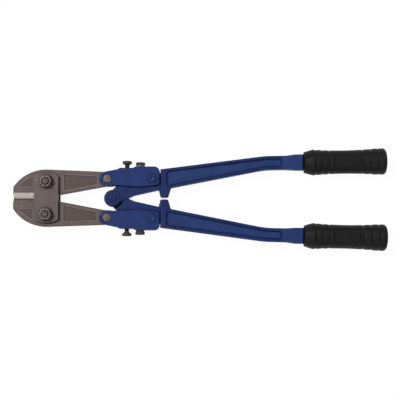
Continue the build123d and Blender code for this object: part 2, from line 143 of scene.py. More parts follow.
def edgeShare(tree, look):
    # Share of a convex edge near the surface point
    node = addNode(tree, "ShaderNodeAmbientOcclusion", inside=True, only_local=True, samples=shadeRays,
                   Distance=look["edgeReach"])
    low, high = look["edgeSpan"]
    return ramp(tree, node.outputs["AO"], high, low)


def cavityShare(tree, look):
    # Share of a crevice or an inner corner near the surface point
    node = addNode(tree, "ShaderNodeAmbientOcclusion", samples=shadeRays, Distance=look["cavityReach"])
    low, high = look["cavitySpan"]
    return ramp(tree, node.outputs["AO"], high, low)


def grainOf(tree, place, look):
    return noise(tree, place, look["grain"], look["grainDetail"])


def bumpFrom(tree, shader, height, look):
    node = addNode(tree, "ShaderNodeBump", Strength=look["bump"], Distance=look["relief"])
    tree.links.new(height, node.inputs["Height"])
    tree.links.new(node.outputs["Normal"], shader.inputs["Normal"])


# Finishes: scales are per metre, reaches and reliefs metres

paintLook = {
    "color": (0.0125, 0.0385, 0.178),
    "deep": (0.0085, 0.027, 0.135),
    "patches": 55.0,
    "patchDetail": 3.0,
    "patchSpan": (0.35, 0.7),
    "handleShade": (0.0088, 0.0290, 0.150),  # painted shade: the handles' faces drawn darker than the arms'
    "handleShadeDeep": (0.0060, 0.0203, 0.114),
    "handleHalf": 0.0078,   # the handles' faces lie nearer to the middle height than this
    "flat": (0.0185, 0.0505, 0.198),  # painted sheen: the panel floors and waists drawn lighter
    "flatDeep": (0.0140, 0.0395, 0.163),
    "floorHalf": 0.0042,    # panel floors lie nearer to the middle height than this
    "facing": (0.6, 0.9),   # how far a face looks up or down
    "panelFront": -0.0395,  # where the panels start, and fade out
    "frontBlend": (-0.004, 0.008),
    "frontFade": (0.002, 0.010),
    "panelBack": 0.0985,
    "backBlend": (-0.001, 0.002),
    "edge": (0.0075, 0.020, 0.088),   # painted shade on rounded edges, where they turn from the light
    "edgeReach": 0.0022,
    "edgeSpan": (0.5, 0.9),
    # painted shade in crevices and inner corners
    "cavity": (0.0042, 0.0125, 0.066),
    "cavityReach": 0.003,
    "cavitySpan": (0.45, 0.95),
    "roughness": 0.5,
    "specular": 0.22,
    "gloss": 0.2,
    "glossRoughness": 0.16,
    "grain": 420.0,
    "grainDetail": 4.0,
    "forging": 170.0,       # uneven forged skin under the paint
    "forgingShare": 2.2,    # its height, of the grain's
    "bump": 0.2,
    "relief": 0.0007,
}


def flatShare(tree, place):
    # One on the panel floors of the shanks and on the waists behind them
    run = split(tree, place)["X"]
    floor = heightShare(tree, place, paintLook["floorHalf"])
    behind = ramp(tree, run, *(paintLook["panelFront"] + blend for blend in paintLook["frontBlend"]))
    waist = ramp(tree, run, *(paintLook["panelBack"] + blend for blend in paintLook["backBlend"]))
    return combine(tree, "MAXIMUM", product(tree, floor, behind), waist)


def bluePaint():
    material, tree, shader, place = newFinish("bluePaint")
    patch = patchShare(tree, place, paintLook)
    tone = mixColor(tree, patch, paintLook["color"], paintLook["deep"])
    normal = addNode(tree, "ShaderNodeTexCoord").outputs["Normal"]
    facing = ramp(tree, awayFrom(tree, split(tree, normal)["Z"], 0.0), *paintLook["facing"])
    # Painted shade: the handles' up- and down-facing faces are drawn darker than the arms'
    handleShade = mixColor(tree, patch, paintLook["handleShade"], paintLook["handleShadeDeep"])
    handle = heightShare(tree, place, paintLook["handleHalf"])
    tone = mixColor(tree, product(tree, handle, facing), tone, handleShade)
    # Painted sheen: the panel floors and waists are drawn lighter where they face up or down
    flat = mixColor(tree, patch, paintLook["flat"], paintLook["flatDeep"])
    tone = mixColor(tree, product(tree, flatShare(tree, place), facing), tone, flat)
    fromFront = awayFrom(tree, split(tree, place)["X"], paintLook["panelFront"])
    clear = ramp(tree, fromFront, *paintLook["frontFade"])
    # Painted shade: convex edges drawn darker, faded out near the panel front
    edges = product(tree, edgeShare(tree, paintLook), clear)
    tone = mixColor(tree, edges, tone, paintLook["edge"])
    # Painted shade: crevices and inner corners drawn darker, faded out near the panel front
    cavities = product(tree, cavityShare(tree, paintLook), clear)
    tone = mixColor(tree, cavities, tone, paintLook["cavity"])
    tree.links.new(tone, shader.inputs["Base Color"])
    shader.inputs["Roughness"].default_value = paintLook["roughness"]
    shader.inputs["Specular IOR Level"].default_value = paintLook["specular"]
    shader.inputs["Coat Weight"].default_value = paintLook["gloss"]
    shader.inputs["Coat Roughness"].default_value = paintLook["glossRoughness"]
    skin = product(tree, noise(tree, place, paintLook["forging"]), paintLook["forgingShare"])
    bumpFrom(tree, shader, combine(tree, "ADD", skin, grainOf(tree, place, paintLook)), paintLook)
    return material


forgedLook = {
    "color": (0.147, 0.107, 0.0995),
    "dark": (0.113, 0.081, 0.0752),
    "patches": 90.0,
    "patchDetail": 5.0,
    "patchSpan": (0.3, 0.75),
    # lighter convex edges: rubbed steel, and a painted highlight on the chamfers
    "edge": (0.30, 0.245, 0.232),
    "edgeReach": 0.0014,
    "edgeSpan": (0.55, 0.9),
    # painted shade in crevices and inner corners
    "cavity": (0.042, 0.030, 0.028),
    "cavityReach": 0.0025,
    "cavitySpan": (0.45, 0.95),
    "metallic": 0.2,
    "roughness": 0.52,
    "grain": 700.0,
    "grainDetail": 4.0,
    "bump": 0.2,
    "relief": 0.0004,
}
bladeLook = {
    "pocket": (0.0945, 0.0675, 0.063),
    "pocketHalf": 0.00515,  # pocket floors lie nearer to the middle height than this
    # ground steel, made lighter still as a painted reflection on the upper bevel
    "ground": (0.98, 0.832, 0.815),
    "lineShare": 0.9,       # brightness of the grinding lines, of the rest
    "lines": (900.0, 60.0, 60.0),
    "lineDetail": 2.0,
    "lineSpan": (0.3, 0.7),
    "bevel": 0.0063,        # ground strip either side of the cutting line
    "bevelBlur": 0.00012,
    "bevelBack": -0.1994,
    "backBlur": 0.0002,
    "bevelFront": -0.2248,  # the blunt tip ahead of it isn't ground
    "frontBlur": 0.0003,
    "shadedBevelShare": 0.10,      # of the upper bevel's brightness, kept on the lower bevel: painted shade
    "sideBlur": 0.0001,
    # painted shadow of the upper blade along the lower cutting edge
    "edgeShadow": (0.040, 0.028, 0.027),
    "edgeShadowTop": (0.0006, 0.0002),
    "edgeShadowFade": (-0.0036, -0.0004),
    # painted shade along the crevice between the blades
    "cavityReach": 0.0010,
    "cavitySpan": (0.4, 0.85),
}


def aheadOfPlates(tree, run):
    back, blur = bladeLook["bevelBack"], bladeLook["backBlur"]
    return ramp(tree, run, back + blur, back - blur)


def bladeShare(tree, place):
    # One on the upper ground bevel, which lies along the tool's centre line ahead of the plates, and a
    # small share on the lower bevel as painted shade
    parts = split(tree, place)
    reach, blur = bladeLook["bevel"], bladeLook["bevelBlur"]
    strip = ramp(tree, awayFrom(tree, parts["Y"], 0.0), reach + blur, reach - blur)
    tip = bladeLook["bevelFront"]
    behind = ramp(tree, parts["X"], tip, tip + bladeLook["frontBlur"])
    # Painted light: full brightness on the upper bevel, a small share on the lower one
    litBevel = addNode(tree, "ShaderNodeMapRange")
    litBevel.inputs["From Min"].default_value = -bladeLook["sideBlur"]
    litBevel.inputs["From Max"].default_value = bladeLook["sideBlur"]
    litBevel.inputs["To Min"].default_value = bladeLook["shadedBevelShare"]
    tree.links.new(parts["Y"], litBevel.inputs["Value"])
    share = strip
    for factor in (aheadOfPlates(tree, parts["X"]), behind, litBevel.outputs["Result"]):
        share = product(tree, share, factor)
    return share


def bladeShadowLine(tree, place):
    # One on the painted shadow along the lower cutting edge, fading out below it
    parts = split(tree, place)
    below = ramp(tree, parts["Y"], *bladeLook["edgeShadowTop"])
    fade = ramp(tree, parts["Y"], *bladeLook["edgeShadowFade"])
    return product(tree, product(tree, below, fade), aheadOfPlates(tree, parts["X"]))


def groundTone(tree, place, tone):
    stretched = addNode(tree, "ShaderNodeMapping", Scale=bladeLook["lines"])
    tree.links.new(place, stretched.inputs["Vector"])
    lines = noise(tree, stretched.outputs["Vector"], 1.0, bladeLook["lineDetail"])
    shaded = tuple(bladeLook["lineShare"] * channel for channel in bladeLook["ground"])
    bright = mixColor(tree, ramp(tree, lines, *bladeLook["lineSpan"]), bladeLook["ground"], shaded)
    # Ground bevels lighter: ground steel, with a painted reflection on the upper bevel and painted shade
    # on the lower
    tone = mixColor(tree, bladeShare(tree, place), tone, bright)
    # Painted shadow along the lower cutting edge
    tone = mixColor(tree, bladeShadowLine(tree, place), tone, bladeLook["edgeShadow"])
    # Painted shade in the crevice between the blades
    return mixColor(tree, cavityShare(tree, bladeLook), tone, forgedLook["cavity"])


def forgedSteel(name, ground=False):
    material, tree, shader, place = newFinish(name)
    tone = mixColor(tree, patchShare(tree, place, forgedLook), forgedLook["color"], forgedLook["dark"])
    if ground:
        pocket = heightShare(tree, place, bladeLook["pocketHalf"])
        tone = mixColor(tree, pocket, tone, bladeLook["pocket"])
    # Convex edges lighter: rubbed steel and a painted highlight
    tone = mixColor(tree, edgeShare(tree, forgedLook), tone, forgedLook["edge"])
    # Painted shade: crevices and inner corners drawn darker
    tone = mixColor(tree, cavityShare(tree, forgedLook), tone, forgedLook["cavity"])
    if ground:
        tone = groundTone(tree, place, tone)
    tree.links.new(tone, shader.inputs["Base Color"])
    shader.inputs["Metallic"].default_value = forgedLook["metallic"]
    shader.inputs["Roughness"].default_value = forgedLook["roughness"]
    bumpFrom(tree, shader, grainOf(tree, place, forgedLook), forgedLook)
    return material


wearAndShadeLook = {
    "patches": 260.0,
    "patchDetail": 4.0,
    "patchSpan": (0.35, 0.75),
    "edgeReach": 0.0008,
    "edgeSpan": (0.5, 0.9),
    "cavityTone": 0.25,     # painted shade in crevices, of the steel's own colour
    "cavityReach": 0.002,
    "cavitySpan": (0.4, 0.9),
    "grain": 900.0,
    "grainDetail": 3.0,
    "bump": 0.2,
    "relief": 0.0003,
}
steelLooks = {
    "nut_steel": {
        "color": (0.165, 0.133, 0.125),
        "light": (0.205, 0.168, 0.159),
        # painted highlight on the nut's face ring, besides rubbed edges
        "edge": (0.46, 0.395, 0.375),
        "metallic": 0.3,
        "roughness": 0.46,
    },
    "bolt_steel": {
        # dark steel, drawn darker than the plate also as painted shade in the countersink round the bolt
        # end
        "color": (0.100, 0.079, 0.074),
        "light": (0.125, 0.101, 0.095),
        "edge": (0.115, 0.092, 0.087),
        "metallic": 0.3,
        "roughness": 0.5,
    },
    "fastener_steel": {
        "color": (0.060, 0.040, 0.036),
        "light": (0.085, 0.062, 0.057),
        "edge": (0.15, 0.12, 0.115),
        "metallic": 0.5,
        "roughness": 0.42,
    },
    "washer_steel": {
        "color": (0.085, 0.067, 0.063),
        "light": (0.110, 0.089, 0.084),
        "edge": (0.14, 0.115, 0.109),
        "metallic": 0.4,
        "roughness": 0.5,
    },
    "spring_steel": {
        "color": (0.26, 0.235, 0.245),
        "light": (0.33, 0.305, 0.315),
        "edge": (0.42, 0.39, 0.40),
        "metallic": 0.4,
        "roughness": 0.4,
    },
    "pin_steel": {
        "color": (0.131, 0.0965, 0.0865),
        "light": (0.202, 0.1545, 0.139),
        "edge": (0.21, 0.172, 0.16),
        "metallic": 0.3,
        "roughness": 0.45,
    },
}


def smallSteel(name, look):
    material, tree, shader, place = newFinish(name)
    tone = mixColor(tree, patchShare(tree, place, wearAndShadeLook), look["color"], look["light"])
    # Convex edges lighter: rubbed steel, and on the nuts a painted highlight
    tone = mixColor(tree, edgeShare(tree, wearAndShadeLook), tone, look["edge"])
    # Painted shade: crevices drawn darker
    dark = tuple(wearAndShadeLook["cavityTone"] * channel for channel in look["color"])
    tone = mixColor(tree, cavityShare(tree, wearAndShadeLook), tone, dark)
    tree.links.new(tone, shader.inputs["Base Color"])
    shader.inputs["Metallic"].default_value = look["metallic"]
    shader.inputs["Roughness"].default_value = look["roughness"]
    bumpFrom(tree, shader, grainOf(tree, place, wearAndShadeLook), wearAndShadeLook)
    return material


rubberLook = {
    "color": (0.0058, 0.0057, 0.0070),
    "dusty": (0.0092, 0.0091, 0.0104),
    "patches": 120.0,
    "patchDetail": 4.0,
    "patchSpan": (0.3, 0.75),
    # painted shade in the grooves and the recess
    "cavity": (0.0028, 0.0028, 0.0033),
    "cavityReach": 0.006,
    "cavitySpan": (0.5, 0.97),
    "roughness": 0.6,
    "specular": 0.28,
    "grain": 1500.0,
    "grainDetail": 2.0,
    "bump": 0.25,
    "relief": 0.0003,
}


def rubber():
    material, tree, shader, place = newFinish("gripRubber")
    tone = mixColor(tree, patchShare(tree, place, rubberLook), rubberLook["color"], rubberLook["dusty"])
    # Painted shade: grooves and the recess drawn darker
    tone = mixColor(tree, cavityShare(tree, rubberLook), tone, rubberLook["cavity"])
    tree.links.new(tone, shader.inputs["Base Color"])
    shader.inputs["Roughness"].default_value = rubberLook["roughness"]
    shader.inputs["Specular IOR Level"].default_value = rubberLook["specular"]
    bumpFrom(tree, shader, grainOf(tree, place, rubberLook), rubberLook)
    return material


finishes = {
    "blue_paint": bluePaint(),
    "jaw_steel": forgedSteel("jawSteel", ground=True),
    "plate_steel": forgedSteel("plateSteel"),
    "grip_rubber": rubber(),
}
for slotName, look in steelLooks.items():
    finishes[slotName] = smallSteel(slotName.replace("_s", "S"), look)
slotOf = {}
for part in frame["record"]["subparts"]:
    slotOf[part["node"]] = part["material_slot"]
    slots = nodes[part["node"]].data.materials
    slots.clear()
    slots.append(finishes[part["material_slot"]])
print("finishes set:", len(finishes))


# Turned and cut pieces

meshLook = {
    "weld": 1e-6,           # points nearer than this are one
    "onPlane": 1e-7,        # points nearer than this to a cut lie in it
    "softSegments": 2,
    "softAngle": 35.0,      # sharper edges are softened
    "creaseAngle": 32.0,    # sharper edges stay crisp
}


def spinProfile(bm, points, steps, closed=False, angle=2 * math.pi, rise=0.0):
    # Points are radius and height; rise is the climb in each step
    verts = [bm.verts.new((radius, 0, height)) for radius, height in points]
    lines = [bm.edges.new(pair) for pair in zip(verts, verts[1:])]
    if closed:
        lines.append(bm.edges.new((verts[-1], verts[0])))
    whole = math.isclose(angle, 2 * math.pi) and rise == 0
    bmesh.ops.spin(bm, geom=verts + lines, axis=(0, 0, 1), cent=(0, 0, 0), dvec=(0, 0, rise),
                   angle=angle, steps=steps, use_merge=whole)
    bmesh.ops.remove_doubles(bm, verts=bm.verts, dist=meshLook["weld"])


def cutAway(bm, place, normal):
    # Cuts off what lies beyond the plane and closes the cut
    everything = bm.verts[:] + bm.edges[:] + bm.faces[:]
    cut = bmesh.ops.bisect_plane(bm, geom=everything, dist=meshLook["onPlane"],
                                 plane_co=place, plane_no=normal, clear_outer=True)
    rim = [item for item in cut["geom_cut"] if isinstance(item, bmesh.types.BMEdge)]
    return bmesh.ops.edgeloop_fill(bm, edges=rim)["faces"]


def cutHexagon(bm, flats, start):
    # Start is the direction of the first flat in degrees
    for flat in range(6):
        turn = math.radians(start + 60 * flat)
        normal = Vector((math.cos(turn), math.sin(turn), 0))
        cutAway(bm, normal * flats / 2, normal)


def extrudeFaces(bm, faces):
    # Gives the new vertices; the faces that it starts from would be left inside
    made = bmesh.ops.extrude_face_region(bm, geom=faces)["geom"]
    bmesh.ops.delete(bm, geom=faces, context="FACES")
    return [item for item in made if isinstance(item, bmesh.types.BMVert)]


def joinInto(bm, other):
    mesh = bpy.data.meshes.new("part")
    other.to_mesh(mesh)
    other.free()
    bm.from_mesh(mesh)
    bpy.data.meshes.remove(mesh)


def softenEdges(bm, offset):
    sharper = math.radians(meshLook["softAngle"])
    edges = [edge for edge in bm.edges if len(edge.link_faces) == 2 and edge.calc_face_angle() > sharper]
    bmesh.ops.bevel(bm, geom=edges, offset=offset, segments=meshLook["softSegments"], affect="EDGES",
                    profile=0.5, material=-1, clamp_overlap=True)


def keepPiece(bm, name, node, body, place, axis=Vector((0, 0, 1)), finish=None):
    # Stands the piece, drawn round +Z, on its place in the frame and hides the plain CAD node
    turn = Vector((0, 0, 1)).rotation_difference(axis).to_matrix().to_4x4()
    bmesh.ops.transform(bm, matrix=Matrix.Translation(place) @ turn, verts=bm.verts)
    bmesh.ops.recalc_face_normals(bm, faces=bm.faces)
    mesh = bpy.data.meshes.new(name)
    bm.to_mesh(mesh)
    bm.free()
    mesh.materials.append(finishes[finish or slotOf[node]])
    mesh.shade_smooth()
    mesh.set_sharp_from_angle(angle=math.radians(meshLook["creaseAngle"]))
    piece = bpy.data.objects.new(name, mesh)
    scene.collection.objects.link(piece)
    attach(piece, body)
    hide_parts(node)


def spanOf(node):
    low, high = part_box(node)
    return (low + high) / 2, high - low


# Nuts and toothed washers on the head

nutLook = {
    "flats": 0.013,
    "flatsStart": 30.0,
    "bore": 0.00405,
    "mouth": 0.0050,        # countersink round the thread
    "faceShare": 0.95,      # round face left by the corner chamfer, of the flats
    "slope": 30.0,
    "soft": 0.00012,
    "around": 96,
}
toothLook = {
    "bore": 0.0042,
    "root": 0.0070,
    "teeth": 12,
    "perTooth": 3,          # steps round the ring, the last of them the gap
    "twist": 18.0,
    "thinned": 0.75,        # tooth tip, of the ring's thickness
    "soft": 0.0001,
}


def jawNut(side):
    mid, span = spanOf(f"{side}_jaw_nut")
    top = span.z / 2
    corner = nutLook["flats"] / math.sqrt(3)
    face = nutLook["flats"] / 2 * nutLook["faceShare"]
    drop = (corner - face) * math.tan(math.radians(nutLook["slope"]))
    sink = nutLook["mouth"] - nutLook["bore"]
    upper = [(nutLook["bore"], top - sink), (nutLook["mouth"], top), (face, top), (corner, top - drop)]
    lower = [(radius, -height) for radius, height in reversed(upper)]
    bm = bmesh.new()
    spinProfile(bm, upper + lower, nutLook["around"], closed=True)
    cutHexagon(bm, nutLook["flats"], nutLook["flatsStart"])
    softenEdges(bm, nutLook["soft"])
    keepPiece(bm, f"{side}ChamferedNut", f"{side}_jaw_nut", "head", mid)


def toothWasher(side):
    mid, span = spanOf(f"{side}_tooth_washer")
    half, tip, root, bore = span.z / 2, span.x / 2, toothLook["root"], toothLook["bore"]
    perTooth = toothLook["perTooth"]
    bm = bmesh.new()
    ring = [(bore, -half), (root, -half), (root, half), (bore, half)]
    spinProfile(bm, ring, perTooth * toothLook["teeth"], closed=True)
    inner = root - meshLook["weld"]
    wall = [face for face in bm.faces if all(vert.co.xy.length > inner for vert in face.verts)]
    wall.sort(key=lambda face: math.atan2(*face.calc_center_median().xy))
    for first in range(0, len(wall), perTooth):
        tooth = wall[first:first + perTooth - 1]
        outward = sum((face.calc_center_median() for face in tooth), Vector()).normalized()
        tips = extrudeFaces(bm, tooth)
        for vert in tips:
            vert.co += outward * (tip - root)
            vert.co.z *= toothLook["thinned"]
        twist = Matrix.Rotation(math.radians(toothLook["twist"]), 3, outward)
        bmesh.ops.rotate(bm, cent=(0, 0, 0), matrix=twist, verts=tips)
        lift = -half - min(vert.co.z for vert in tips)      # the low corner of a tooth touches the plate
        bmesh.ops.translate(bm, vec=(0, 0, lift), verts=tips)
    softenEdges(bm, toothLook["soft"])
    keepPiece(bm, f"{side}TwistedToothWasher", f"{side}_tooth_washer", "head", mid)


for side in sides:
    jawNut(side)
    toothWasher(side)
print("nuts and toothed washers made")


# Bolts and screws

boltLook = {
    "flats": 0.013,
    "headHeight": 0.0053,
    "stemRadius": 0.004,
    "pitch": 0.00125,
    "threadDepth": 0.0007,
    "threadLength": 0.010,
    "underRound": 0.0,      # height of the round between stem and head
    "endChamfer": 0.0008,
}
adjusterLook = {
    "flats": 0.010,
    "headHeight": 0.004,
    "stemRadius": 0.003,
    "pitch": 0.001,
    "threadDepth": 0.00055,
    "threadLength": 0.0095,
    "underRound": 0.0011,
    "endChamfer": 0.0006,
}
lockerLook = {
    **adjusterLook,
    "threadLength": 0.0110,
    "underRound": 0.0,
}
screwLook = {
    "faceShare": 0.93,      # round face left by the corner chamfers, of the flats
    "slope": 30.0,
    "flatsStart": 30.0,
    "roundTurns": (20, 40, 60, 80),
    "roundWidth": 1.6,      # of its height
    "overlap": 0.0002,      # of the plain stem with the thread
    "crest": (0.42, 0.56),  # of the pitch
    "rootStart": 0.94,
    "perTurn": 32,
    "around": 96,
    "soft": 0.00012,
}


def threadedEnd(look, low, high):
    # A helix of one groove profile, cut square at both ends, with a chamfered tip at the low end
    pitch, crest, perTurn = look["pitch"], look["stemRadius"], screwLook["perTurn"]
    root = crest - look["threadDepth"]
    turns = math.ceil((high - low) / pitch) + 2
    foot = low - pitch
    groove = [(root, foot)]
    groove += [(crest, foot + share * pitch) for share in screwLook["crest"]]
    groove += [(root, foot + screwLook["rootStart"] * pitch), (root, foot + pitch)]
    bm = bmesh.new()
    spinProfile(bm, groove, perTurn * turns, angle=2 * math.pi * turns, rise=pitch / perTurn)
    cutAway(bm, (0, 0, high), (0, 0, 1))
    cap = cutAway(bm, (0, 0, low), (0, 0, -1))
    tip = extrudeFaces(bm, cap)
    shrink = 1 - look["endChamfer"] / crest
    bmesh.ops.scale(bm, vec=(shrink, shrink, 1), verts=tip)
    bmesh.ops.translate(bm, vec=(0, 0, -look["endChamfer"]), verts=tip)
    bmesh.ops.recalc_face_normals(bm, faces=bm.faces)
    return bm


def hexScrew(name, node, body, axis, look, finish=None):
    # Drawn with the underside of the head at height 0 and the head above it
    mid, span = spanOf(node)
    length = abs(span.dot(axis))
    stem, top, under = look["stemRadius"], look["headHeight"], look["underRound"]
    corner = look["flats"] / math.sqrt(3)
    face = look["flats"] / 2 * screwLook["faceShare"]
    drop = (corner - face) * math.tan(math.radians(screwLook["slope"]))
    foot = top - length
    threadTop = foot + look["threadLength"]
    stemFoot = threadTop - screwLook["overlap"]
    profile = [(0, stemFoot), (stem, stemFoot), (stem, -under)]
    if under:
        for turn in screwLook["roundTurns"]:
            swing = math.radians(turn)
            out = under * (1 - math.cos(swing)) * screwLook["roundWidth"]
            profile.append((stem + out, -under * (1 - math.sin(swing))))
    profile += [(face, 0), (corner, drop), (corner, top - drop), (face, top), (0, top)]
    bm = bmesh.new()
    spinProfile(bm, profile, screwLook["around"])
    cutHexagon(bm, look["flats"], screwLook["flatsStart"])
    softenEdges(bm, screwLook["soft"])
    bmesh.ops.recalc_face_normals(bm, faces=bm.faces)
    joinInto(bm, threadedEnd(look, foot + look["endChamfer"], threadTop))
    keepPiece(bm, name, node, body, mid + axis * (length / 2 - top), axis, finish)


for side, sign in sides.items():
    outward = Vector((0, sign, 0))
    bolt, adjuster, locker = f"{side}_jaw_bolt", f"{side}_adjusting_screw", f"{side}_lock_screw"
    hexScrew(f"{side}JawBolt", bolt, "head", Vector((0, 0, -1)), boltLook, "bolt_steel")
    hexScrew(f"{side}AdjustingScrew", adjuster, adjuster, outward, adjusterLook)
    hexScrew(f"{side}LockScrew", locker, locker, outward, lockerLook)
print("bolts and screws made")


# Split washers under the lock screws

springLook = {
    "bore": 0.0032,
    "gap": 9.0,             # degrees of the split
    "spread": 0.0003,       # one end above the other
    "soft": 0.00015,
    "around": 72,
}


def springWasher(side, sign):
    node = f"{side}_lock_washer"
    mid, span = spanOf(node)
    bore, outer, steps = springLook["bore"], span.x / 2, springLook["around"]
    low, high = -span.y / 2, span.y / 2 - springLook["spread"]
    ring = [(bore, low), (outer, low), (outer, high), (bore, high)]
    bm = bmesh.new()
    spinProfile(bm, ring, steps, closed=True, angle=math.radians(360 - springLook["gap"]),
                rise=springLook["spread"] / steps)
    bmesh.ops.edgeloop_fill(bm, edges=[edge for edge in bm.edges if edge.is_boundary])
    softenEdges(bm, springLook["soft"])
    keepPiece(bm, f"{side}SplitWasher", node, f"{side}_handle", mid, Vector((0, sign, 0)), "spring_steel")


for side, sign in sides.items():
    springWasher(side, sign)
print("split washers made")


# Pins with formed ends

pinLook = {
    "jaw_pin": {"rim": 0.0007, "center": 0.00022, "centerShare": 1.0, "peen": 0.00016},
    "arm_pin": {"rim": 0.0012, "center": -0.0006, "centerShare": 0.55, "peen": 0.00004},
}
pivotLook = {
    "headHeight": 0.0024,
    "stemRadius": 0.0046,
    "rim": 0.0011,
    "center": -0.0007,
    "centerShare": 0.55,
    "peen": 0.00004,
}
formLook = {
    "rimTurns": (0, 30, 60, 90),
    "rings": (1.0, 0.85, 0.7, 0.55, 0.4, 0.25, 0.12, 0.0),      # of the formed centre
    "dents": 900.0,         # per metre
    "around": 64,
}


def formedEnd(radius, height, look):
    # From the rim to the middle: rounded rim, flat ring and a domed or dished centre
    rim = look["rim"]
    points = []
    for turn in formLook["rimTurns"]:
        swing = math.radians(turn)
        points.append((radius - rim * (1 - math.cos(swing)), height - rim * (1 - math.sin(swing))))
    middle = (radius - rim) * look["centerShare"]
    for share in formLook["rings"]:
        points.append((middle * share, height + look["center"] * (1 - share * share)))
    return points


def hammer(bm, low, high, look):
    # Shallow dents where the ends were struck
    for vert in bm.verts:
        if vert.co.z > high - look["rim"] or vert.co.z < low + look["rim"]:
            inward = -1 if vert.co.z > 0 else 1
            vert.co.z += inward * look["peen"] * (1 + field.noise(vert.co * formLook["dents"])) / 2


def formedPin(side, kind):
    node = f"{side}_{kind}"
    look = pinLook[kind]
    mid, span = spanOf(node)
    end = formedEnd(span.x / 2, span.z / 2 - max(0.0, look["center"]), look)
    bm = bmesh.new()
    spinProfile(bm, [(radius, -height) for radius, height in reversed(end)] + end, formLook["around"])
    hammer(bm, -span.z / 2, span.z / 2, look)
    keepPiece(bm, f"{side}{kind.title().replace('_', '')}", node, f"{side}_handle", mid)


def pivotPin():
    mid, span = spanOf("handle_pivot_pin")
    radius, height, stem = span.x / 2, pivotLook["headHeight"], pivotLook["stemRadius"]
    low, high = -span.z / 2, span.z / 2
    seat = low + height
    rear = [(away, seat - rise) for away, rise in formedEnd(radius, height, {**pivotLook, "center": 0.0})]
    profile = [*reversed(rear), (radius, seat), (stem, seat), *formedEnd(stem, high, pivotLook)]
    bm = bmesh.new()
    spinProfile(bm, profile, formLook["around"])
    hammer(bm, low, high, pivotLook)
    keepPiece(bm, "pivotRivet", "handle_pivot_pin", "upper_handle", mid)


for side in sides:
    for kind in pinLook:
        formedPin(side, kind)
pivotPin()
print("pins made")


# Rubber grips

gripLook = {
    "mouth": 0.0126,
    "lip": 0.0009,
    "lipTurns": (0, 30, 60),
    "cone": 0.011,
    "frontCrest": 0.0157,
    "front": 0.036,         # from the front crest to the waist
    "waist": 0.0141,
    "back": 0.041,          # from the waist to the back crest
    "backCrest": 0.0159,
    "crown": 0.007,
    "endRound": 0.0046,
    "endSteps": 9,
    "endRings": (0.75, 0.5, 0.25, 0),
    "splay": 1.1,
    "grooves": 3,           # at either end
    "frontGap": 0.0032,
    "frontPitch": 0.00825,
    "backGap": 0.0096,
    "backPitch": 0.00935,
    "grooveHalf": 0.0012,
    "grooveDepth": 0.0007,
    "landHalf": 0.0041,
    "landDrop": 0.00014,    # the lands fall off this much towards a groove
    "recessGap": 0.0038,    # from the grooves at either end
    "recessWidth": 0.0106,
    "recessDepth": 0.0016,
    "recessRim": 0.0005,    # half of the rounded wall
    "parting": 0.00012,     # height of the mould line along both sides
    "tangHalf": (0.0046, 0.0081),
    "tangDepth": 0.0821,
    "around": 192,
    "step": 0.0005,
}
gripBody = sum(gripLook[stretch] for stretch in ("cone", "front", "back", "crown"))
gripLength = gripBody + gripLook["endRound"]
grooveRuns = []
for count in range(gripLook["grooves"]):
    grooveRuns.append(gripLook["cone"] + gripLook["frontGap"] + count * gripLook["frontPitch"])
    grooveRuns.append(gripLength - gripLook["backGap"] - count * gripLook["backPitch"])
grooveRuns.sort()


def bell(away, reach):
    # One in the middle, falling smoothly to nothing at the reach
    return 0.5 + 0.5 * math.cos(math.pi * min(abs(away) / reach, 1.0))


def gripRadius(run):
    waist = gripLook["cone"] + gripLook["front"]
    if run < waist:
        crest, share = gripLook["frontCrest"], (waist - run) / gripLook["front"]
    else:
        crest, share = gripLook["backCrest"], min((run - waist) / gripLook["back"], 1.0)
    radius = gripLook["waist"] + (crest - gripLook["waist"]) * share ** 2
    for groove in grooveRuns:
        radius -= gripLook["grooveDepth"] * bell(run - groove, gripLook["grooveHalf"])
        radius -= gripLook["landDrop"] * bell(run - groove, gripLook["landHalf"])
    slope = (gripLook["frontCrest"] - gripLook["mouth"]) / gripLook["cone"]
    return min(radius, gripLook["mouth"] + slope * run)


def gripProfile():
    # Blind bore for the tang, front face with its lip, grooved body and rounded end
    lip, mouth, end, step = gripLook["lip"], gripLook["mouth"], gripLook["endRound"], gripLook["step"]
    bore = gripLook["tangHalf"][1]
    points = [(0, gripLook["tangDepth"]), (bore, gripLook["tangDepth"]), (bore, 0)]
    for turn in gripLook["lipTurns"]:
        swing = math.radians(turn)
        points.append((mouth - lip * (1 - math.sin(swing)), lip * (1 - math.cos(swing))))
    rows = round((gripBody - lip) / step)
    for row in range(rows):
        run = lip + (gripBody - lip) * row / rows
        near = (run - step, run, run + step)
        points.append((sum(gripRadius(place) for place in near) / len(near), run))
    crown = gripRadius(gripBody)
    for count in range(gripLook["endSteps"] + 1):
        swing = math.pi / 2 * count / gripLook["endSteps"]
        points.append((crown - end * (1 - math.cos(swing)), gripBody + end * math.sin(swing)))
    face = points[-1][0]
    return points + [(face * share, gripLength) for share in gripLook["endRings"]]


def squareBore(bm):
    # The tang is flat, so its bore is too
    thick, wide = gripLook["tangHalf"]
    for vert in bm.verts:
        if abs(vert.co.xy.length - wide) < meshLook["weld"]:
            share = 1 / max(abs(vert.co.x) / thick, abs(vert.co.y) / wide)
            vert.co.xy *= share


def pressRecess(bm):
    # Flat-floored oval on the front, with a rounded wall
    front = grooveRuns[gripLook["grooves"] - 1] + gripLook["recessGap"]
    back = grooveRuns[gripLook["grooves"]] - gripLook["recessGap"]
    straight = (back - front - gripLook["recessWidth"]) / 2
    floor = gripLook["waist"] - gripLook["recessDepth"]
    rim = gripLook["recessRim"]
    for vert in bm.verts:
        height = -vert.co.x
        if height > floor:
            past = max(abs(vert.co.z - (front + back) / 2) - straight, 0.0)
            away = math.hypot(past, vert.co.y) - gripLook["recessWidth"] / 2
            vert.co.x += (height - floor) * bell(max(away + rim, 0.0), 2 * rim)


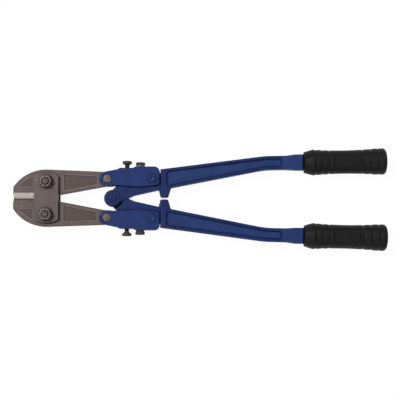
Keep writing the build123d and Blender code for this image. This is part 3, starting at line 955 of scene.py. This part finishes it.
def mouldLine(bm):
    for vert in bm.verts:
        if abs(vert.co.x) < meshLook["weld"] and abs(vert.co.y) > gripLook["mouth"]:
            vert.co.y += math.copysign(gripLook["parting"], vert.co.y)


def rubberGrip(side, sign):
    node = f"{side}_grip"
    low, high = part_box(node)
    splay = math.radians(gripLook["splay"])
    outer = high.y if sign > 0 else low.y
    reach = gripBody * math.sin(splay) + gripLook["backCrest"] * math.cos(splay)
    start = low.x + gripLook["mouth"] * math.sin(splay)
    place = Vector((start, outer - sign * reach, (low.z + high.z) / 2))
    bm = bmesh.new()
    spinProfile(bm, gripProfile(), gripLook["around"])
    squareBore(bm)
    pressRecess(bm)
    mouldLine(bm)
    keepPiece(bm, f"{side}RubberGrip", node, f"{side}_handle", place,
              Vector((math.cos(splay), sign * math.sin(splay), 0)))


for side, sign in sides.items():
    rubberGrip(side, sign)
print("grips made")


# Floor, light and camera

stageLook = {
    "floor": 6.0,
    "floorColor": (0.9, 0.9, 0.9),
    "floorRoughness": 0.9,
    "below": 0.0001,        # just under the faces that rest on it
    "shadowShare": 0.06,    # of the floor's own shading that the camera sees
    "glow": 1.03,
    "contact": 0.02,        # reach of the painted contact shadow under and beside the tool
    "contactRays": 16,
    "open": 0.3,
    "world": 0.10,
}
cameraLook = {
    "lens": 89.3,
    "sensor": 36.0,
    "distance": 1.2,
    "elevation": 86.5,
    "roll": 0.2,
    "target": (0.0, -0.0014, 0.016),
}
lightLook = {
    "key": {"place": (-1.4, 0.85, 2.4), "size": 0.7, "power": 42.0},
    "fill": {"place": (-0.3, -1.9, 2.4), "size": 1.6, "power": 20.0},
    "rim": {"place": (0.9, 1.5, 2.3), "size": 0.5, "power": 13.0},
}


def whiteForCamera(tree, shading, surface):
    # The camera and reflections see a white glow, dimmed near the tool as a painted contact shadow, and a
    # part of the shading
    rays = addNode(tree, "ShaderNodeLightPath").outputs
    seen = combine(tree, "MAXIMUM", rays["Is Camera Ray"], rays["Is Glossy Ray"])
    # Painted contact shadow: the glow dims where the floor is hemmed in
    cover = addNode(tree, "ShaderNodeAmbientOcclusion", samples=stageLook["contactRays"],
                    Distance=stageLook["contact"])
    light = ramp(tree, cover.outputs["AO"], 0.0, stageLook["open"])
    glow = addNode(tree, "ShaderNodeEmission")
    tree.links.new(product(tree, light, stageLook["glow"]), glow.inputs["Strength"])
    mix = addNode(tree, "ShaderNodeMixShader")
    tree.links.new(product(tree, seen, 1 - stageLook["shadowShare"]), mix.inputs["Fac"])
    tree.links.new(shading, mix.inputs[1])
    tree.links.new(glow.outputs[0], mix.inputs[2])
    tree.links.new(mix.outputs[0], surface)


def makeFloor():
    mesh = bpy.data.meshes.new("floor")
    bm = bmesh.new()
    bmesh.ops.create_grid(bm, x_segments=1, y_segments=1, size=stageLook["floor"])
    bmesh.ops.translate(bm, vec=(0, 0, -stageLook["below"]), verts=bm.verts)
    bm.to_mesh(mesh)
    bm.free()
    floor = bpy.data.objects.new("floor", mesh)
    scene.collection.objects.link(floor)
    material = bpy.data.materials.new("floorWhite")
    material.use_nodes = True
    tree = material.node_tree
    shader = tree.nodes["Principled BSDF"]
    shader.inputs["Base Color"].default_value = (*stageLook["floorColor"], 1)
    shader.inputs["Roughness"].default_value = stageLook["floorRoughness"]
    whiteForCamera(tree, shader.outputs[0], tree.nodes["Material Output"].inputs["Surface"])
    mesh.materials.append(material)


def addArea(name, look):
    light = bpy.data.lights.new(name, "AREA")
    light.shape = "DISK"
    light.size = look["size"]
    light.energy = look["power"]
    lamp = bpy.data.objects.new(name, light)
    scene.collection.objects.link(lamp)
    lamp.location = look["place"]
    lamp.rotation_euler = (-Vector(look["place"])).to_track_quat("-Z", "Y").to_euler()


def makeCamera():
    camera = bpy.data.objects.new("camera", bpy.data.cameras.new("camera"))
    scene.collection.objects.link(camera)
    camera.data.lens = cameraLook["lens"]
    camera.data.sensor_width = cameraLook["sensor"]
    rise = math.radians(cameraLook["elevation"])
    target = Vector(cameraLook["target"])
    away = Vector((0, -math.cos(rise), math.sin(rise)))
    camera.location = target + away * cameraLook["distance"]
    turn = (-away).to_track_quat("-Z", "Y").to_matrix().to_4x4()
    turn = turn @ Matrix.Rotation(math.radians(cameraLook["roll"]), 4, "Z")
    camera.rotation_euler = turn.to_euler()
    scene.camera = camera


makeFloor()
for name, look in lightLook.items():
    addArea(f"{name}Light", look)
makeCamera()
scene.world = bpy.data.worlds.new("studio")
scene.world.use_nodes = True
background = scene.world.node_tree.nodes["Background"]
background.inputs["Color"].default_value = (1, 1, 1, 1)
background.inputs["Strength"].default_value = stageLook["world"]
scene.view_settings.view_transform = "Standard"
print("stage set")
